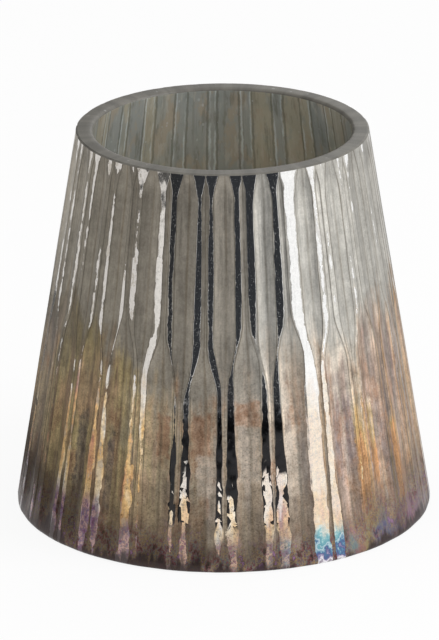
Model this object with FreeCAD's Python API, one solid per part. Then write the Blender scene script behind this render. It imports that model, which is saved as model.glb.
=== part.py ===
"""Hurricane candle lantern: a tapered, hand-cut glass vessel with a pillar candle standing in it.

Millimetres, +Z up, origin at the centre of the plane that the vessel stands on.
"""

import FreeCAD, Part
import math
import os

from FreeCAD import Vector

# Vessel: a thick glass cone with a flat ground rim and a recess under its base
HEIGHT = 140.0
BASE_RADIUS = 74.5
RIM_RADIUS = 51.8
WALL = 6.2
FLOOR = 9.0
FLOOR_FILLET = 7.0
FOOT_BEVEL = 1.5
FOOT_RING = 9.0
BASE_RECESS = 2.2
RECESS_SLOPE = 45.0
RIM_BEVEL = 0.5

# Cut flutes: a blunt mitre wheel, run up the wall once for each flute
FLUTE_PAIRS = 25
WHEEL_FLANK_ANGLE = 15.0
WHEEL_NOSE = 1.2
WHEEL_CLEARANCE = 1.0
NARROW_CUT = 2.2
UPPER_CUT = 7.6
LOWER_CUT = 9.8
UPPER_NECK_START = 65.0
UPPER_NECK_END = 84.0
UPPER_TIP_LENGTH = 9.0
UPPER_RIM_CUT = 2.8
LOWER_SHOULDER_START = 70.0
LOWER_SHOULDER_END = 88.0
LOWER_TIP_LENGTH = 5.4
LOWER_TIP_BELOW_RIM = 1.6
FOOT_FADE = 8.0
FOOT_RUN_OUT = 2.4
CUT_OVERRUN = 6.0

# Flutes that the photograph shows, in degrees to the right of its centre line; the rest are spread evenly behind
FRONT_ANGLE = -90.0
FRONT_UPPER_FLUTES = (-67.0, -53.5, -40.6, -27.4, -13.3, 0.3, 14.8, 31.6)
FRONT_LOWER_FLUTES = (-74.2, -59.7, -47.2, -34.4, -20.0, -6.4, 7.4, 22.3, 39.0)

# Candle: a pressed wax pillar, drilled for a tabbed wick
CANDLE_RADIUS = 35.0
CANDLE_HEIGHT = 80.0
CANDLE_TOP_BEVEL = 2.5
CANDLE_FOOT_BEVEL = 1.0
WICK_RADIUS = 1.2
WICK_STANDS_OUT = 11.0
TAB_RADIUS = 9.0
TAB_SHEET = 0.4
TAB_LIFT = 0.2
NECK_HEIGHT = 4.5
FIT_CLEARANCE = 0.05

Z_AXIS = Vector(0, 0, 1)
ORIGIN = Vector(0, 0, 0)
SLOPE = math.atan2(BASE_RADIUS - RIM_RADIUS, HEIGHT)
FLANK = math.radians(WHEEL_FLANK_ANGLE)
WICK_HOLE = WICK_RADIUS + FIT_CLEARANCE
NECK_RADIUS = WICK_HOLE + TAB_SHEET
CANDLE_TOP = FLOOR + CANDLE_HEIGHT
TAB_BOTTOM = FLOOR + TAB_LIFT
TAB_TOP = TAB_BOTTOM + TAB_SHEET


def outer_radius(z):
    """Radius of the uncut wall at height z."""
    return BASE_RADIUS + (RIM_RADIUS - BASE_RADIUS) * z / HEIGHT


def inner_radius(z):
    """Radius of the smooth inside of the wall at height z."""
    return outer_radius(z) - WALL


def line(a, b):
    return Part.makeLine(a, b)


def arc(a, middle, b):
    return Part.Arc(a, middle, b).toShape()


def profile_point(r, z):
    """A point of a turned profile, in the XZ plane."""
    return Vector(r, 0, z)


def corner_arc(corner, before, after, radius):
    """Start, middle and end of an arc that rounds a corner of a profile between two neighbours."""
    to_before = (before - corner).normalize()
    to_after = (after - corner).normalize()
    half = to_before.getAngle(to_after) / 2
    bisector = (to_before + to_after).normalize()
    centre = corner + bisector * (radius / math.sin(half))
    reach = radius / math.tan(half)
    return corner + to_before * reach, centre - bisector * radius, corner + to_after * reach


def turned(edges):
    """The solid that a closed profile makes when it is turned about the Z axis."""
    face = Part.Face(Part.Wire(edges))
    solid = face.revolve(ORIGIN, Z_AXIS, 360)
    return solid if solid.Volume > 0 else solid.reversed()


def turned_polygon(points):
    """A turned solid with a straight-sided profile, given as (radius, height) pairs."""
    corners = [profile_point(r, z) for r, z in points]
    return turned([line(a, b) for a, b in zip(corners, corners[1:] + corners[:1])])


def vessel_blank():
    """The blown vessel before cutting: wall, rim, floor, foot ring and the recess under the base."""
    recess_edge = profile_point(BASE_RADIUS - FOOT_BEVEL - FOOT_RING, 0)
    recess_run = BASE_RECESS / math.tan(math.radians(RECESS_SLOPE))
    recess_corner = recess_edge + Vector(-recess_run, 0, BASE_RECESS)
    recess_centre = profile_point(0, BASE_RECESS)
    foot_corner = profile_point(BASE_RADIUS, 0)
    rim_outside = profile_point(RIM_RADIUS, HEIGHT)
    rim_inside = profile_point(RIM_RADIUS - WALL, HEIGHT)
    wall_up = (rim_outside - foot_corner).normalize()
    across = Vector(1, 0, 0)
    floor_corner = profile_point(inner_radius(FLOOR), FLOOR)
    floor_centre = profile_point(0, FLOOR)
    fillet = corner_arc(floor_corner, rim_inside, floor_centre, FLOOR_FILLET)
    corners = [
        recess_centre,
        recess_corner,
        recess_edge,
        foot_corner - across * FOOT_BEVEL,
        foot_corner + wall_up * FOOT_BEVEL,
        rim_outside - wall_up * RIM_BEVEL,
        rim_outside - across * RIM_BEVEL,
        rim_inside + across * RIM_BEVEL,
        rim_inside - wall_up * RIM_BEVEL,
        fillet[0],
    ]
    edges = [line(a, b) for a, b in zip(corners, corners[1:])]
    edges += [arc(*fillet), line(fillet[2], floor_centre), line(floor_centre, recess_centre)]
    return turned(edges)


def cut_depth(width, z):
    """How far the wheel's nose goes below the wall to cut a flute of that width at height z."""
    half = width / 2
    wall_sagitta = half**2 * math.cos(SLOPE) / (2 * outer_radius(z))
    flank_width = max(half - WHEEL_NOSE / 2, 0)
    return flank_width * math.tan(FLANK) + wall_sagitta


def wall_frame(z):
    """The point of the uncut wall at height z and azimuth 0, and the wall's outward normal there."""
    normal = Vector(math.cos(SLOPE), 0, math.sin(SLOPE))
    return profile_point(outer_radius(z), z), normal


def wheel_section(z, depth, rise):
    """The grinding wheel's profile at height z, its nose that deep in the wall and its flanks that tall."""
    point, normal = wall_frame(z)
    nose = point - normal * depth
    top = nose + normal * rise
    nose_side = Vector(0, WHEEL_NOSE / 2, 0)
    top_side = Vector(0, WHEEL_NOSE / 2 + rise / math.tan(FLANK), 0)
    corners = [nose - nose_side, nose + nose_side, top + top_side, top - top_side]
    return Part.Face(Part.makePolygon(corners + corners[:1]))


def flute_cutter(stations):
    """What the wheel sweeps as it follows stations of (height, width of cut), run out at both ends."""
    path = [(z, cut_depth(width, z)) for z, width in stations]
    path.insert(0, run_out(path[1], path[0]))
    path.append(run_out(path[-2], path[-1]))
    rise = max(depth for _, depth in path) + WHEEL_CLEARANCE
    spans = []
    for (z, depth), (next_z, next_depth) in zip(path, path[1:]):
        start, normal = wall_frame(z)
        end, _ = wall_frame(next_z)
        travel = (end - normal * next_depth) - (start - normal * depth)
        spans.append(wheel_section(z, depth, rise).extrude(travel))
    return spans[0].multiFuse(spans[1:])


def run_out(before, end):
    """A point past the end of a wheel's path, in line with its last span."""
    (z0, depth0), (z1, depth1) = before, end
    step = math.copysign(CUT_OVERRUN, z1 - z0)
    return z1 + step, depth1 + (depth1 - depth0) * step / (z1 - z0)


def upper_flute():
    """Broad in the upper half, drawn in to a blunt tip at the rim, with a thin line below its neck."""
    return flute_cutter(
        [
            (FOOT_RUN_OUT, 0),
            (FOOT_FADE, NARROW_CUT),
            (UPPER_NECK_START, NARROW_CUT),
            (UPPER_NECK_END, UPPER_CUT),
            (HEIGHT - UPPER_TIP_LENGTH, UPPER_CUT),
            (HEIGHT, UPPER_RIM_CUT),
        ]
    )


def lower_flute():
    """Broad in the lower half, with shoulders that draw in to a thin line running up to the rim."""
    tip = HEIGHT - LOWER_TIP_BELOW_RIM
    return flute_cutter(
        [
            (FOOT_RUN_OUT, 0),
            (FOOT_FADE, LOWER_CUT),
            (LOWER_SHOULDER_START, LOWER_CUT),
            (LOWER_SHOULDER_END, NARROW_CUT),
            (tip - LOWER_TIP_LENGTH, NARROW_CUT),
            (tip, 0),
        ]
    )


def flute_angles():
    """Angles of the upper flutes and of the lower flutes, which take turns round the wall."""
    behind = 2 * FLUTE_PAIRS - len(FRONT_UPPER_FLUTES) - len(FRONT_LOWER_FLUTES)
    start = FRONT_LOWER_FLUTES[-1]
    step = (360 + FRONT_LOWER_FLUTES[0] - start) / (behind + 1)
    rest = [start + step * number for number in range(1, behind + 1)]
    return [*FRONT_UPPER_FLUTES, *rest[::2]], [*FRONT_LOWER_FLUTES, *rest[1::2]]


def glass_vessel():
    """The blank with its ring of upper flutes and, between them, its ring of lower ones."""
    upper_angles, lower_angles = flute_angles()
    upper = upper_flute()
    lower = lower_flute()
    cutters = [upper.rotated(ORIGIN, Z_AXIS, FRONT_ANGLE + angle) for angle in upper_angles]
    cutters += [lower.rotated(ORIGIN, Z_AXIS, FRONT_ANGLE + angle) for angle in lower_angles]
    return vessel_blank().cut(cutters)


def candle_wax():
    """The wax pillar, with its wick hole and a recess below for the wick's tab and neck."""
    neck_top = TAB_TOP + NECK_HEIGHT + FIT_CLEARANCE
    neck_hole = NECK_RADIUS + FIT_CLEARANCE
    tab_recess = TAB_RADIUS + FIT_CLEARANCE
    return turned_polygon(
        [
            (WICK_HOLE, CANDLE_TOP),
            (WICK_HOLE, neck_top),
            (neck_hole, neck_top),
            (neck_hole, TAB_TOP),
            (tab_recess, TAB_TOP),
            (tab_recess, FLOOR),
            (CANDLE_RADIUS - CANDLE_FOOT_BEVEL, FLOOR),
            (CANDLE_RADIUS, FLOOR + CANDLE_FOOT_BEVEL),
            (CANDLE_RADIUS, CANDLE_TOP - CANDLE_TOP_BEVEL),
            (CANDLE_RADIUS - CANDLE_TOP_BEVEL, CANDLE_TOP),
        ]
    )


def wick_tab():
    """The stamped metal tab under the wax: a disc with a crimped neck round the wick."""
    return turned_polygon(
        [
            (WICK_HOLE, TAB_BOTTOM),
            (TAB_RADIUS, TAB_BOTTOM),
            (TAB_RADIUS, TAB_TOP),
            (NECK_RADIUS, TAB_TOP),
            (NECK_RADIUS, TAB_TOP + NECK_HEIGHT),
            (WICK_HOLE, TAB_TOP + NECK_HEIGHT),
        ]
    )


def candle_wick():
    """The braided wick, from its tab to a stub above the wax."""
    length = CANDLE_TOP + WICK_STANDS_OUT - TAB_BOTTOM
    return Part.makeCylinder(WICK_RADIUS, length, Vector(0, 0, TAB_BOTTOM))


def main():
    os.makedirs("parts", exist_ok=True)
    pieces = {
        "glass_vessel": glass_vessel(),
        "candle_wax": candle_wax(),
        "candle_wick": candle_wick(),
        "wick_tab": wick_tab(),
    }
    for name, shape in pieces.items():
        shape.exportStep(f"parts/{name}.step")
        print(f"{name}: {len(shape.Solids)} solid, {len(shape.Faces)} faces, {shape.Volume / 1000:.2f} cm3")


main()
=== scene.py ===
"""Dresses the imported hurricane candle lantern: cut and silvered glass, a candle, and a plain studio."""

import functools
import math
import random

import bmesh
import bpy
from bpy.props import FloatProperty, FloatVectorProperty, IntProperty, PointerProperty
from mathutils import Matrix, Vector, noise


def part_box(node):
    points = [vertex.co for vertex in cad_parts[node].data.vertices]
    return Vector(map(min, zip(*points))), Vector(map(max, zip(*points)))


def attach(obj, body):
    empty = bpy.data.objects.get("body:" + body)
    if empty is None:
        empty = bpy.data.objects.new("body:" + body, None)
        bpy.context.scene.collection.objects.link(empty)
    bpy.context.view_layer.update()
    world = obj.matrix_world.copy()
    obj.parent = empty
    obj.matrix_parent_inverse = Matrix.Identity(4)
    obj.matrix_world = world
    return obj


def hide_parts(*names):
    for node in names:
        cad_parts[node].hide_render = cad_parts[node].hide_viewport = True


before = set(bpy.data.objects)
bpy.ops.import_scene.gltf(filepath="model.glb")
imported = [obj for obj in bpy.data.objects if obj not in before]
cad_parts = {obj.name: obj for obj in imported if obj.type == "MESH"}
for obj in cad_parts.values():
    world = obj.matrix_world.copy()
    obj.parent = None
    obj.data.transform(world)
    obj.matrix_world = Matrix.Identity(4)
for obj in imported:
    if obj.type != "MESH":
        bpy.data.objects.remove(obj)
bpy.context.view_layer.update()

bl_info = {
    "name": "Hurricane Candle Lantern",
    "version": (1, 0, 0),
    "blender": (4, 5, 0),
    "location": "3D View > Sidebar > Lantern",
    "description": "Builds a cut and silvered glass hurricane with its pillar candle",
    "category": "Object",
}

# Lengths are in metres, and a tiny one is too small to see
MILLIMETRE = 0.001
TINY = 0.01 * MILLIMETRE
TURN = 2 * math.pi
GLASS_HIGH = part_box("glass_vessel")[1]
WAX_LOW, WAX_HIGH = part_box("candle_wax")
WICK_LOW, WICK_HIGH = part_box("candle_wick")
TAB_LOW, TAB_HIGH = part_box("wick_tab")
MIDDLE = Vector((0, 0, GLASS_HIGH.z / 2))

# Flutes on the side that the photograph faces, from left to right and lower and upper ones in turn:
# degrees from the centre line at the rim and at the foot
FRONT_FLUTES = (
    (-73.9, -74.5), (-66.9, -67.0), (-59.3, -60.0), (-53.0, -54.0), (-46.3, -48.0), (-40.2, -41.0),
    (-34.8, -34.0), (-27.7, -27.0), (-20.6, -19.8), (-13.3, -13.6), (-6.5, -6.0), (0.6, 0.2),
    (7.4, 7.6), (14.9, 14.6), (22.0, 22.6), (31.8, 31.4), (38.5, 39.4),
)
# By how many millimetres the neck or shoulder of some front flutes sits higher, by place in that list
NECK_SHIFTS = {8: -2.0, 9: -6.0, 10: -8.0, 11: -2.0, 12: 3.0, 13: -2.0, 14: 3.0, 15: 2.0}
# How far the satin has crept over the ridge to the right of each of those flutes and of the next five,
# in millimetres, at these shares of the height; below 0 the satin is narrower than the cut
COVER_HEIGHTS = (0.80, 0.58, 0.42, 0.20)
FRONT_COVER = (
    (0.85, 0.90, 0.70, 1.20), (1.20, 1.20, 0.60, 0.80), (0.30, 0.75, 0.25, -0.40),
    (0.85, 0.55, 0.50, -0.15), (0.40, 0.35, 0.10, -0.40), (0.90, -0.05, -0.15, -0.45),
    (-0.10, 1.30, 0.50, -0.65), (-0.10, -0.05, -0.30, 0.60), (0.00, 0.30, 0.30, -0.50),
    (0.00, -0.05, 0.00, -0.40), (0.00, 0.00, 0.00, -0.40), (0.00, 0.35, 0.00, -0.50),
    (0.00, 0.35, 0.00, -0.40), (0.00, 0.20, 0.00, -0.50), (0.50, 0.30, -0.50, -0.40),
    (0.45, 0.75, 0.30, 0.00), (1.60, 1.60, 1.20, 1.00), (1.80, 1.90, 2.20, 2.20),
    (1.80, 1.90, 2.20, 2.20), (1.80, 1.90, 2.20, 2.20), (1.80, 1.80, 2.20, 2.20),
    (1.60, 1.80, 2.00, 2.00),
)
# How the hand differs from flute to flute: height of the neck in millimetres, then shares of the width,
# of the width left at an upper tip and of the length of a tip
HAND_SEED = 11
NECK_SPREAD = (-2.2, 2.2)
WIDTH_SPREAD = (0.95, 1.05)
BLUNT_SPREAD = (0.40, 0.54)
TIP_SPREAD = (0.8, 1.2)
# On the far side: degrees by which a flute strays from even spacing and leans, and its cover in millimetres
STRAY_SPREAD = (-0.7, 0.7)
LEAN_SPREAD = (-0.8, 0.8)
COVER_ABOVE_SPREAD = (1.0, 1.7)
COVER_BELOW_SPREAD = (0.4, 1.0)
# Lengths of the slow and the quick waves in the edge of a cut
SLOW_WAVE = 30 * MILLIMETRE
QUICK_WAVE = 9 * MILLIMETRE
# How round the tips and the bottom of a cut are, as powers
UPPER_TIP_POWER = 1.3
LOWER_TIP_POWER = 1.25
CUT_POWER = 1.8
# Share of a flute's depth lost at the rim, and how far the painted shade line along its valley lies to the
# right of its middle
RIM_LOSS = 0.7
VALLEY_ASIDE = 0.15
# Least width of a flute or ridge, and share of the height at which the bands of the inside are measured
NARROWEST = 0.3 * MILLIMETRE
BAND_HEIGHT = 0.78
# Columns of faces across each flute and each ridge
FLUTE_COLUMNS = 12
RIDGE_COLUMNS = 4
COLUMNS = FLUTE_COLUMNS + RIDGE_COLUMNS
BRAID_START = WAX_HIGH.z - 4 * MILLIMETRE

# Patches and runs in the flutes: degrees from the centre line, share of the height, and their reach each way
ORANGE_RUNS = ((45.2, 0.26, 2.3, 0.19), (51.0, 0.27, 2.0, 0.12), (62.8, 0.20, 2.8, 0.12))
DUSKY_PATCHES = ((-47.8, 0.24, 2.2, 0.13), (-36.0, 0.22, 1.2, 0.11))
PALE_PATCHES = ((7.6, 0.29, 3.4, 0.07), (-5.5, 0.24, 2.6, 0.05), (20.5, 0.27, 3.0, 0.09))
RUST_PATCHES = ((7.4, 0.40, 4.4, 0.034), (-7.0, 0.35, 3.2, 0.06), (-18.5, 0.34, 2.2, 0.06))
# Colours of the burnt foot, by degrees from the centre line
FOOT_HUES = (
    (-180, (0.25, 0.12, 0.16)), (-60, (0.26, 0.12, 0.22)), (-44, (0.34, 0.15, 0.25)),
    (-34, (0.34, 0.17, 0.22)), (-18, (0.40, 0.22, 0.12)), (8, (0.42, 0.26, 0.15)),
    (20, (0.34, 0.33, 0.26)), (37, (0.22, 0.40, 0.40)), (41, (0.52, 0.27, 0.25)),
    (46, (0.54, 0.51, 0.20)), (51, (0.16, 0.22, 0.42)), (57, (0.17, 0.13, 0.12)),
    (65, (0.42, 0.23, 0.36)), (75, (0.38, 0.34, 0.38)), (180, (0.25, 0.12, 0.16)),
)


def number(name, description, value, **more):
    """A plain number property."""
    return FloatProperty(name=name, description=description, default=value, **more)


def length(name, description, millimetres):
    """A length property, written in millimetres."""
    return number(name, description, millimetres * MILLIMETRE, unit="LENGTH", precision=5)


def colour(name, description, value):
    """A colour property, in linear values."""
    return FloatVectorProperty(
        name=name, description=description, default=value, subtype="COLOR", size=3, min=0.0, max=1.0
    )


class VesselSizes(bpy.types.PropertyGroup):
    """Sizes of the glass vessel and of the flutes cut in its wall."""

    height: length("Height", "From the table to the ground rim", GLASS_HIGH.z / MILLIMETRE)
    base_radius: length("Base radius", "Radius of the uncut wall, carried down to the table", 74.5)
    rim_radius: length("Rim radius", "Radius of the uncut wall at the rim", 51.8)
    wall: length("Wall", "Thickness of the glass, measured level", 6.2)
    floor: length("Floor", "Height of the flat floor that the candle stands on", WAX_LOW.z / MILLIMETRE)
    floor_fillet: length("Floor fillet", "Radius of the inside corner at the floor", 7.0)
    foot_round: length("Foot round", "Radius of the worn edge of the foot", 1.5)
    foot_ring: length("Foot ring", "Width of the flat ring that the vessel stands on", 9.0)
    base_recess: length("Base recess", "Depth of the recess under the base", 2.2)
    rim_bevel: length("Rim bevel", "Bevel ground on the outer edge of the rim", 0.5)
    rim_round: length("Rim round", "Radius of the worn inner edge of the rim", 1.2)
    flute_pairs: IntProperty(
        name="Flute pairs", description="Upper and lower flutes, in turn", default=25, min=17
    )
    upper_thin: length("Upper thin", "Width of an upper flute along its thin stretch", 2.0)
    lower_thin: length("Lower thin", "Width of a lower flute along its thin stretch", 2.15)
    upper_cut: length("Upper cut", "Width of an upper flute along its broad stretch", 7.05)
    lower_cut: length("Lower cut", "Width of a lower flute along its broad stretch", 9.8)
    upper_neck_start: length("Upper neck start", "Height where an upper flute starts to broaden", 65.0)
    upper_neck_end: length("Upper neck end", "Height where an upper flute is at its broadest", 84.0)
    upper_tip: length("Upper tip", "Length of an upper flute's tip, up to the rim", 9.5)
    lower_shoulder_start: length("Lower shoulder start", "Height where a lower flute starts to draw in", 70.0)
    lower_shoulder_end: length("Lower shoulder end", "Height where a lower flute is down to a line", 88.0)
    lower_tip: length("Lower tip", "Length of a lower flute's pointed tip", 5.4)
    tip_below_rim: length("Tip below rim", "How far a lower flute's point stays below the rim", 1.6)
    foot_fade: length("Foot fade", "Height above which the flutes are at their full depth", 12.0)
    foot_run_out: length("Foot run-out", "Height where the flutes have run out above the foot", 1.6)
    rim_fade: length("Rim fade", "How far below the rim the flutes start to shallow out", 4.0)
    foot_depth: number("Foot depth", "Share of a flute's depth left at the foot", 0.12)
    cut_depth: number("Cut depth", "Depth of a flute, as a share of its width", 0.112)
    waver: length("Waver", "How far the edge of a cut strays from its line", 0.34)
    swell: length("Swell", "How uneven the blown wall is", 0.10)


class CandleSizes(bpy.types.PropertyGroup):
    """Sizes of the pillar candle and of its wick."""

    radius: length("Radius", "Radius of the wax pillar", WAX_HIGH.x / MILLIMETRE)
    shoulder: length("Shoulder", "Radius of the rounded top edge", 2.5)
    foot_bevel: length("Foot bevel", "Bevel at the bottom edge", 1.0)
    dish: length("Dish", "How far the top sinks towards the wick", 0.7)
    wick_radius: length("Wick radius", "Radius of the braided wick", WICK_HIGH.x / MILLIMETRE)
    wick_hole: length("Wick hole", "Radius of the hole for the wick", WICK_HIGH.x / MILLIMETRE + 0.05)
    tab_recess: length("Tab recess", "Radius of the recess for the tab", TAB_HIGH.x / MILLIMETRE + 0.05)
    tab_thickness: length("Tab thickness", "Height of the recess for the tab's disc", 0.4)
    ripple: length("Ripple", "How uneven the side of the pillar is", 0.12)
    braid_pitch: length("Braid pitch", "Rise of a strand of the wick in one turn", 3.2)
    braid_depth: number("Braid depth", "How deep the wick's strands are set, as a share of its radius", 0.16)


class VesselFinish(bpy.types.PropertyGroup):
    """Colours of the silvered and stained glass."""

    silver: colour("Silver", "Satin silvering in the ground flutes", (0.475, 0.425, 0.355))
    pale: colour("Pale silver", "Satin silvering on the right side", (0.52, 0.505, 0.465))
    mirror: colour("Mirror", "Bright silvering on the uncut ridges", (0.96, 0.955, 0.94))
    olive: colour("Olive", "Stain on the left side", (0.66, 0.53, 0.27))
    rose: colour("Rose brown", "Stain on the right side", (0.36, 0.255, 0.19))
    rust: colour("Rust", "Rust blooms and freckles", (0.50, 0.285, 0.175))
    umber: colour("Umber", "Dark freckles", (0.06, 0.042, 0.03))
    # Painted shade: a brown-tinted dark line along the valley of each flute, just right of its middle
    valley_shade: colour("Valley shade", "Brown film along the bottom of the flutes", (0.24, 0.19, 0.13))
    amber: colour("Amber", "Stain over the mirror ridges", (0.84, 0.56, 0.25))
    dusk: colour("Dusk", "Burnt stain at the foot", (0.095, 0.07, 0.068))
    rim: colour("Rim", "Ground glass of the rim", (0.152, 0.143, 0.122))
    inside: colour("Inside", "Back of the silvering, seen through the glass", (0.44, 0.41, 0.32))


class CandleFinish(bpy.types.PropertyGroup):
    """Colours of the candle."""

    wax: colour("Wax", "Ivory wax", (0.83, 0.76, 0.60))
    cotton: colour("Cotton", "Waxed cotton wick", (0.80, 0.74, 0.62))
    tin: colour("Tin", "Tinned steel tab", (0.62, 0.62, 0.60))


class StudioSettings(bpy.types.PropertyGroup):
    """Camera and light."""

    distance: length("Distance", "From the camera to the middle of the lantern", 2464.0)
    elevation: number("Elevation", "Camera's height above the horizon", math.radians(19.77), subtype="ANGLE")
    roll: number("Roll", "Tilt of the camera about its line of sight", math.radians(-0.2), subtype="ANGLE")
    lens: number("Lens", "Focal length in millimetres", 388.3)
    key_power: number("Key power", "Power of the softbox on the right", 8.0, unit="POWER")
    fill_level: number("Fill level", "Brightness of the soft light all round", 0.75)


def ramp_up(low, high, value):
    """0 below low, 1 above high and a straight line between."""
    return min(max((value - low) / (high - low), 0.0), 1.0)


def smooth_step(low, high, value):
    """0 below low, 1 above high and an easy curve between."""
    share = ramp_up(low, high, value)
    return share * share * (3 - 2 * share)


def outer_radius(sizes, z):
    """Radius of the uncut wall at height z."""
    return sizes.base_radius + (sizes.rim_radius - sizes.base_radius) * z / sizes.height


def foot_ring_inside(sizes):
    """Inner radius of the ring that the vessel stands on."""
    return sizes.base_radius - sizes.foot_round - sizes.foot_ring


def lies_outside(sizes, radius, z):
    """Whether a point is on the outer side of the wall."""
    return radius > outer_radius(sizes, z) - sizes.wall / 2


class Flute:
    """One ground flute: where it runs round the wall, and how broad it is, at each height."""

    def __init__(self, sizes, place, rim_angle, foot_angle, cover, hand):
        self.sizes = sizes
        self.upper = place % 2 == 1
        self.rim_angle = math.radians(rim_angle)
        self.foot_angle = math.radians(foot_angle)
        self.shift = (hand.uniform(*NECK_SPREAD) + NECK_SHIFTS.get(place, 0.0)) * MILLIMETRE
        self.share = hand.uniform(*WIDTH_SPREAD)
        self.blunt = hand.uniform(*BLUNT_SPREAD)
        self.tip_share = hand.uniform(*TIP_SPREAD)
        self.tone = hand.random()
        self.seed = hand.uniform(0, 100)
        self.covers = list(zip(COVER_HEIGHTS, cover))

    def angle(self, z):
        """Angle of the flute's middle, from the front and towards the right."""
        return self.foot_angle + (self.rim_angle - self.foot_angle) * z / self.sizes.height

    def width(self, z):
        """Width of the cut at height z, with its tip and its neck or shoulder."""
        sizes = self.sizes
        z_neck = z - self.shift
        if self.upper:
            broad = smooth_step(sizes.upper_neck_start, sizes.upper_neck_end, z_neck)
            width = sizes.upper_thin + (sizes.upper_cut * self.share - sizes.upper_thin) * broad
            tip = ramp_up(sizes.height - sizes.upper_tip * self.tip_share, sizes.height, z)
            return width * (1 - (1 - self.blunt) * tip**UPPER_TIP_POWER)
        drawn_in = smooth_step(sizes.lower_shoulder_start, sizes.lower_shoulder_end, z_neck)
        width = sizes.lower_cut * self.share * (1 - drawn_in) + sizes.lower_thin * drawn_in
        point = sizes.height - sizes.tip_below_rim
        tip = ramp_up(point - sizes.lower_tip * self.tip_share, point, z)
        return width * (1 - tip**LOWER_TIP_POWER)

    def cover(self, z):
        """How far the satin has crept over the ridge on the right, in millimetres."""
        share = z / self.sizes.height
        for (high, above), (low, below) in zip(self.covers, self.covers[1:]):
            if share > low:
                break
        return below + (above - below) * smooth_step(low, high, share)

    def edge_waver(self, z, side):
        """How far one edge strays at height z, as a hand-held wheel does, in slow and in quick waves."""
        slow = noise.noise(Vector((self.seed, side * 9.0, z / SLOW_WAVE)))
        quick = noise.noise(Vector((self.seed, side * 9.0 + 4.0, z / QUICK_WAVE)))
        return self.sizes.waver * (slow + 0.5 * quick)


def cut_flutes(sizes):
    """All the flutes, in order round the wall: those in the photograph, then the rest, evenly spread."""
    hand = random.Random(HAND_SEED)
    film = random.Random(HAND_SEED + 1)
    count = sizes.flute_pairs * 2
    angles = list(FRONT_FLUTES)
    rest = count - len(angles)
    start = angles[-1][0]
    step = (angles[0][0] + 360 - start) / (rest + 1)
    for place in range(1, rest + 1):
        angle = start + step * place + hand.uniform(*STRAY_SPREAD)
        angles.append((angle, angle + hand.uniform(*LEAN_SPREAD)))
    covers = list(FRONT_COVER)
    for _ in range(count - len(covers)):
        above, below = film.uniform(*COVER_ABOVE_SPREAD), film.uniform(*COVER_BELOW_SPREAD)
        covers.append((above, above, below, below))
    return [Flute(sizes, place, *angles[place], covers[place], hand) for place in range(count)]


def ring_columns(flutes, z, sizes):
    """Columns of the wall at height z: angle, depth of cut, distance to its edge, and share to its valley."""
    radius = outer_radius(sizes, z)
    least = NARROWEST / radius
    fade = sizes.foot_depth + (1 - sizes.foot_depth) * smooth_step(sizes.foot_run_out, sizes.foot_fade, z)
    fade *= 1 - RIM_LOSS * smooth_step(sizes.height - sizes.rim_fade, sizes.height, z)
    spans = []
    for flute in flutes:
        half = flute.width(z) / 2
        waver = min(1.0, half / sizes.upper_thin)
        left = flute.angle(z) - (half + waver * flute.edge_waver(z, -1)) / radius
        right = flute.angle(z) + (half + waver * flute.edge_waver(z, 1)) / radius
        short = max(least - (right - left), 0.0)
        spans.append([left - short / 2, right + short / 2, short])
    wraps = [0.0] * (len(spans) - 1) + [TURN]
    for span, after, wrap in zip(spans, spans[1:] + spans[:1], wraps):
        if after[0] + wrap - span[1] < least:
            middle = (span[1] + after[0] + wrap) / 2
            span[1] = middle - least / 2
            after[0] = middle + least / 2 - wrap
    columns = []
    for (left, right, short), after, wrap in zip(spans, spans[1:] + spans[:1], wraps):
        width = max(right - left - short, 0.0) * radius
        for column in range(FLUTE_COLUMNS):
            across = 2 * column / FLUTE_COLUMNS - 1
            depth = sizes.cut_depth * width * (1 - abs(across) ** CUT_POWER) * fade
            inside = (right - left) * radius / 2 * (1 - abs(across)) - short * radius / 2
            angle = left + (right - left) * column / FLUTE_COLUMNS
            columns.append((angle, depth, inside, 1 - abs(across - VALLEY_ASIDE)))
        ridge = after[0] + wrap - right
        for column in range(RIDGE_COLUMNS):
            share = column / RIDGE_COLUMNS
            outside = -ridge * radius * min(share, 1 - share) - short * radius / 2
            columns.append((right + ridge * share, 0.0, outside, 0.0))
    return columns


def add_profile(bm, stretches):
    """A chain of edges in the plane that faces the camera: a start point, then (radius, height, cuts)."""
    corners = [bm.verts.new((0, -stretch[0], stretch[1])) for stretch in stretches]
    edges = [bm.edges.new(ends) for ends in zip(corners, corners[1:])]
    for edge, (_, _, cuts) in zip(edges, stretches[1:]):
        if cuts:
            bmesh.ops.subdivide_edges(bm, edges=[edge], cuts=cuts)


def stretches_to(points, first_cuts=0):
    """Stretches from point to point of an arc, with cuts in the one that leads to it."""
    return [(*point, 0 if place else first_cuts) for place, point in enumerate(points)]


def corner_points(corner, before, after, radius, steps):
    """Points of an arc that rounds a corner of a profile, as (radius, height) pairs."""
    corner, before, after = Vector(corner), Vector(before), Vector(after)
    to_before = (before - corner).normalized()
    to_after = (after - corner).normalized()
    half = to_before.angle(to_after) / 2
    centre = corner + (to_before + to_after).normalized() * (radius / math.sin(half))
    start = corner + to_before * (radius / math.tan(half)) - centre
    turn = start.angle_signed(corner + to_after * (radius / math.tan(half)) - centre)
    return [centre + Matrix.Rotation(-turn * step / steps, 2) @ start for step in range(steps + 1)]


def spin(bm, angle, steps, **more):
    """Turns all that is in a bmesh about the Z axis."""
    geometry = bm.verts[:] + bm.edges[:]
    bmesh.ops.spin(bm, geom=geometry, cent=(0, 0, 0), axis=(0, 0, 1), angle=angle, steps=steps, **more)


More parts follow.
